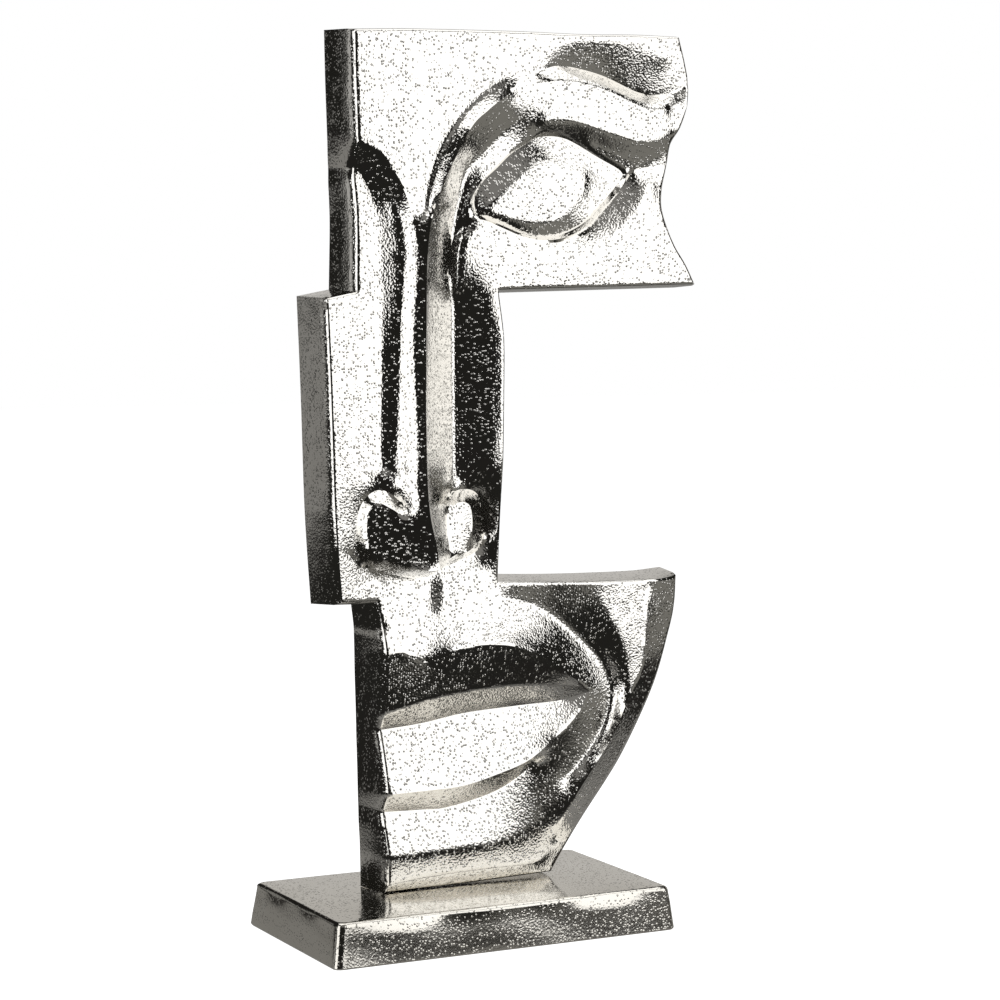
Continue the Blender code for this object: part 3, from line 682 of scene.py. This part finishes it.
right = joined("MULTIPLY", stretch((1, 0, 0), 0.14, 0.3), stretch((0, -1, 0), 0.1, 0.25))
right = joined("MULTIPLY", right, stretch((0, 1, 0), -0.95, -0.7))
behind = joined("MULTIPLY", stretch((1, 0, 0), -0.24, -0.14), stretch((-0.3, 1, 0), -0.17, -0.09))
behind = joined("MAXIMUM", behind, stretch((0, 1, 0), 0.9, 1.5))
painted_reflection_colour = None
for share, colour in ((right, REFLECTION_PAINTED_RIGHT), (behind, REFLECTION_PAINTED_BEHIND)):
    reflection_zones_mix = nodes.new("ShaderNodeMix")
    reflection_zones_mix.data_type = "RGBA"
    reflection_zones_mix.inputs["A"].default_value = REFLECTION_PAINTED_AHEAD
    if painted_reflection_colour is not None:
        links.new(painted_reflection_colour, reflection_zones_mix.inputs["A"])
    reflection_zones_mix.inputs["B"].default_value = colour
    links.new(share, reflection_zones_mix.inputs["Factor"])
    painted_reflection_colour = reflection_zones_mix.outputs["Result"]
links.new(painted_reflection_colour, painted_reflection.inputs["Color"])
# Camera rays see the evenly lit white floor; all other rays see the painted reflection zones
path = nodes.new("ShaderNodeLightPath")
pick = nodes.new("ShaderNodeMixShader")
links.new(path.outputs["Is Camera Ray"], pick.inputs["Fac"])
links.new(painted_reflection.outputs["Emission"], pick.inputs[1])
links.new(matt.outputs["BSDF"], pick.inputs[2])
links.new(pick.outputs["Shader"], nodes["Material Output"].inputs["Surface"])
floor_mesh.materials.append(paper)

world = bpy.data.worlds.new("studio")
bpy.context.scene.world = world
world.use_nodes = True
nodes, links = world.node_tree.nodes, world.node_tree.links
way = nodes.new("ShaderNodeTexCoord")
# Each zone of the room: compass turn from the front towards the right, height, half
# width, softness, all in degrees, then brightness and colour
ZONES = [
    (112, 4, 22, 7, 0.45, (1.0, 0.975, 0.94)),
    (153, 12, 14, 8, 0.55, (1.0, 0.975, 0.94)),
    (-117, 0, 9, 5, 0.42, (1.0, 0.99, 0.97)),
    (-143, -9, 8, 2, 0.2, (1.0, 0.99, 0.96)),
    (-160, 3, 7, 5, 0.25, (1.0, 0.99, 0.96)),
    (-14, 40, 17, 7, 0.2, (1.0, 0.98, 0.95)),
]
DARK = (0.014, 0.0135, 0.012, 1)
total = None
for turn, lift, half, soft, bright, colour in ZONES:
    turn, lift = math.radians(turn), math.radians(lift)
    aim = (math.sin(turn) * math.cos(lift), -math.cos(turn) * math.cos(lift), math.sin(lift))
    dot = nodes.new("ShaderNodeVectorMath")
    dot.operation = "DOT_PRODUCT"
    dot.inputs[1].default_value = aim
    links.new(way.outputs["Generated"], dot.inputs[0])
    ramp = nodes.new("ShaderNodeMapRange")
    ramp.interpolation_type = "SMOOTHSTEP"
    ramp.inputs["From Min"].default_value = math.cos(math.radians(half + soft))
    ramp.inputs["From Max"].default_value = math.cos(math.radians(max(half - soft, 1)))
    ramp.inputs["To Max"].default_value = bright
    links.new(dot.outputs["Value"], ramp.inputs["Value"])
    shade = nodes.new("ShaderNodeVectorMath")
    shade.operation = "SCALE"
    shade.inputs[0].default_value = colour
    links.new(ramp.outputs["Result"], shade.inputs["Scale"])
    if total is None:
        total = shade.outputs["Vector"]
        continue
    both = nodes.new("ShaderNodeVectorMath")
    links.new(total, both.inputs[0])
    links.new(shade.outputs["Vector"], both.inputs[1])
    total = both.outputs["Vector"]
rest = nodes.new("ShaderNodeVectorMath")
rest.inputs[1].default_value = DARK[:3]
links.new(total, rest.inputs[0])
seen = nodes.new("ShaderNodeLightPath")
choose = nodes.new("ShaderNodeMix")
choose.data_type = "RGBA"
links.new(seen.outputs["Is Camera Ray"], choose.inputs["Factor"])
links.new(rest.outputs["Vector"], choose.inputs["A"])
choose.inputs["B"].default_value = (1, 1, 1, 1)
links.new(choose.outputs["Result"], nodes["Background"].inputs["Color"])

# Soft boxes: middle, the point each faces, width, height; all are equally bright
BOX_BRIGHTNESS = 1.5
SOFT_BOXES = [
    ("front_box", (0.66, -1.0, 0.675), (0.0, 0.0, 0.675), 1.10, 1.21),
    ("left_box", (-1.17, -0.36, 0.62), (0.0, 0.0, 0.62), 0.80, 1.20),
    ("top_box", (0.15, -0.05, 1.55), (0.15, -0.05, 0.0), 1.9, 1.5),
]
for label, middle, target, wide, tall in SOFT_BOXES:
    box = bpy.data.lights.new(label, "AREA")
    box.shape = "RECTANGLE"
    box.size, box.size_y = wide, tall
    box.energy = math.pi * wide * tall * BOX_BRIGHTNESS
    lamp = bpy.data.objects.new(label, box)
    bpy.context.scene.collection.objects.link(lamp)
    lamp.location = middle
    lamp.rotation_euler = (Vector(target) - Vector(middle)).to_track_quat("-Z", "Y").to_euler()

CAMERA_AT = (-0.6704, -1.3564, 0.3574)
CAMERA_TURN, CAMERA_DIP = math.radians(27.1), math.radians(4.56)
lens = bpy.data.cameras.new("camera")
lens.lens = 100.0
lens.sensor_width = 36.0
lens.clip_end = 50.0
camera = bpy.data.objects.new("camera", lens)
bpy.context.scene.collection.objects.link(camera)
camera.location = CAMERA_AT
gaze = Vector((math.sin(CAMERA_TURN) * math.cos(CAMERA_DIP),
               math.cos(CAMERA_TURN) * math.cos(CAMERA_DIP), -math.sin(CAMERA_DIP)))
camera.rotation_euler = gaze.to_track_quat("-Z", "Y").to_euler()
bpy.context.scene.camera = camera
bpy.context.scene.view_settings.view_transform = "Standard"
